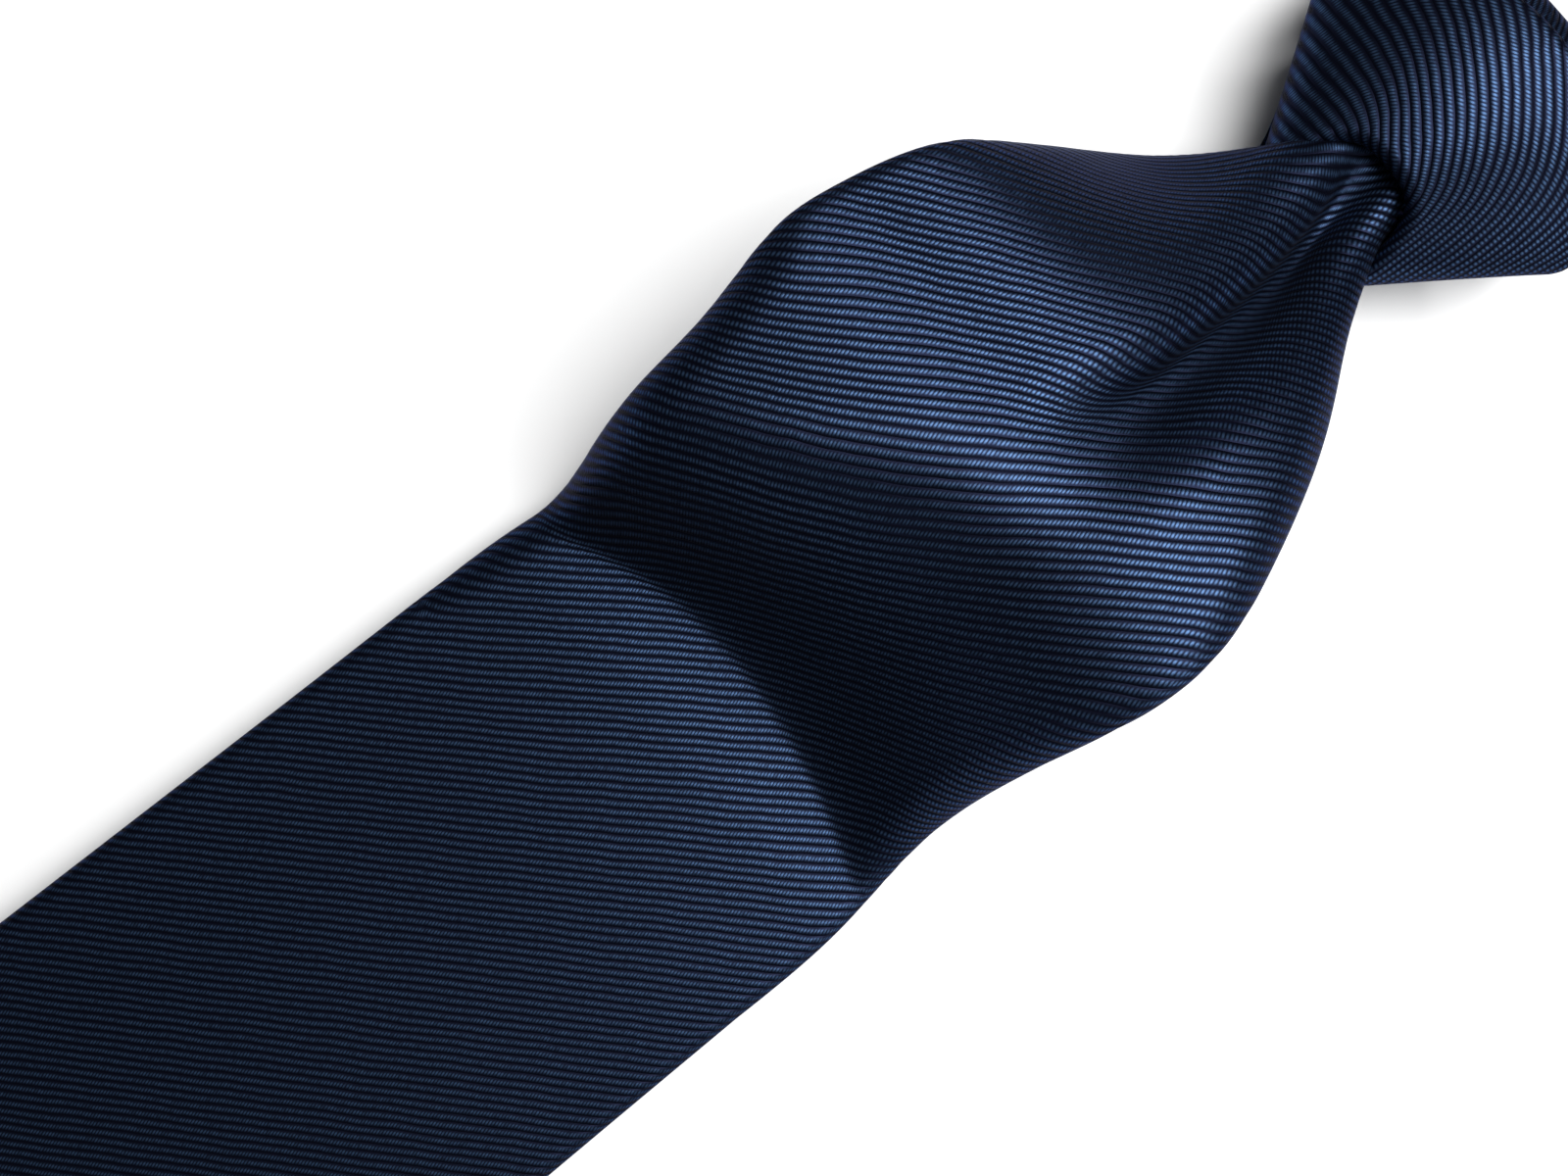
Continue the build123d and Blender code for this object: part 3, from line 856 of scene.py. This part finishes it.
keeper = makeKeeper(bladeMiddle)
label = makeLabel(bladeMiddle)
finish(keeper, silk)
finish(label, labelStuff)
keeperStitches = keeperTacks(bladeMiddle)
stitches = (
    (slipStitches("bladeSlipStitches", blade, bladeMiddle, 52), "blade", "blade_slip_stitch"),
    (slipStitches("tailSlipStitches", tail, tailMiddle, 8), "tail", "tail_slip_stitch"),
    (barTack("bladeBarTack", blade, bladeMiddle), "blade", "blade_bar_tack"),
    (barTack("tailBarTack", tail, tailMiddle), "tail", "tail_bar_tack"),
    (keeperStitches, "blade", "keeper_tacks"),
    (neckSeam("neckSeamRight", loopMiddle, 1), "neck_loop", "neck_seam_right"),
    (neckSeam("neckSeamLeft", loopMiddle, -1), "neck_loop", "neck_seam_left"),
)
for piece, body, replaced in stitches:
    finish(piece, threadStuff)
    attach(piece, body)
    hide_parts(replaced)
for piece, replaced in ((keeper, "keeper_loop"), (label, "care_label")):
    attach(piece, "blade")
    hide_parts(replaced)
print("trim made")

for piece in (bladeShell, bladeLining):
    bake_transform(piece)
for piece in (loopShell, loopLining):
    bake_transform(piece)
for piece in (wrap, rearWrap, upPass, firstCross):
    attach(piece, "root")
for piece in (tailShell, tailLining, tailTipping):
    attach(piece, "tail")
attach(bladeTipping, "blade")

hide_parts("blade_shell", "blade_throat")
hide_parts("blade_interlining")
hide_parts("blade_tipping")
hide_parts("tail_shell")
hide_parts("tail_interlining")
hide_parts("tail_tipping")
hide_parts("knot_front_wrap")
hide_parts("knot_rear_wrap")
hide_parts("knot_up_pass")
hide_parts("knot_first_cross")
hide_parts("neck_band_right", "neck_band_left", "neck_band_back",
            "neck_band_root_right", "neck_band_root_left")
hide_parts("neck_interlining")

floor = bmesh.new()
bmesh.ops.create_grid(floor, x_segments=1, y_segments=1, size=3.0)
floorPiece = newObject(floor, "floor")
pale = bpy.data.materials.new("pale floor")
pale.use_nodes = True
paleShader = pale.node_tree.nodes["Principled BSDF"]
paleShader.inputs["Base Color"].default_value = (0.9, 0.9, 0.9, 1)
paleShader.inputs["Roughness"].default_value = 0.9
floorPiece.data.materials.append(pale)


def softLight(name, place, aim, size, power):
    data = bpy.data.lights.new(name, "AREA")
    data.shape = "RECTANGLE"
    data.size, data.size_y = size
    data.energy = power
    lamp = bpy.data.objects.new(name, data)
    lamp.location = place
    lamp.rotation_euler = (Vector(aim) - Vector(place)).to_track_quat("-Z", "Y").to_euler()
    bpy.context.scene.collection.objects.link(lamp)


softLight("window", (0.15, lipY + 0.17, 0.68), (0, lipY - 0.06, 0), (0.6, 0.6), 9)
softLight("side", (0.45, lipY + 0.02, 0.17), (0, lipY, 0.01), (0.3, 0.2), 0.6)

world = bpy.data.worlds.new("studio")
world.use_nodes = True
world.node_tree.nodes["Background"].inputs["Color"].default_value = (1, 1, 1, 1)
world.node_tree.nodes["Background"].inputs["Strength"].default_value = 0.08
bpy.context.scene.world = world
bpy.context.scene.view_settings.view_transform = "Standard"

view = {
    "from": Vector((3.6 * mm, lipY - 67.7 * mm, 157 * mm)),
    "ahead": Vector((-0.0562, -0.0452, -0.9974)),
    "up": Vector((-0.7783, 0.6274, 0.0154)),
    "lens": 28,
}
cameraData = bpy.data.cameras.new("camera")
cameraData.lens = view["lens"]
cameraData.sensor_width = 36
cameraData.clip_start = 0.01
camera = bpy.data.objects.new("camera", cameraData)
right = view["ahead"].cross(view["up"]).normalized()
up = right.cross(view["ahead"]).normalized()
bpy.context.scene.collection.objects.link(camera)
facing = Matrix((right, up, -view["ahead"].normalized())).transposed().to_4x4()
camera.matrix_world = Matrix.Translation(view["from"]) @ facing
bpy.context.scene.camera = camera
print("light and camera placed")
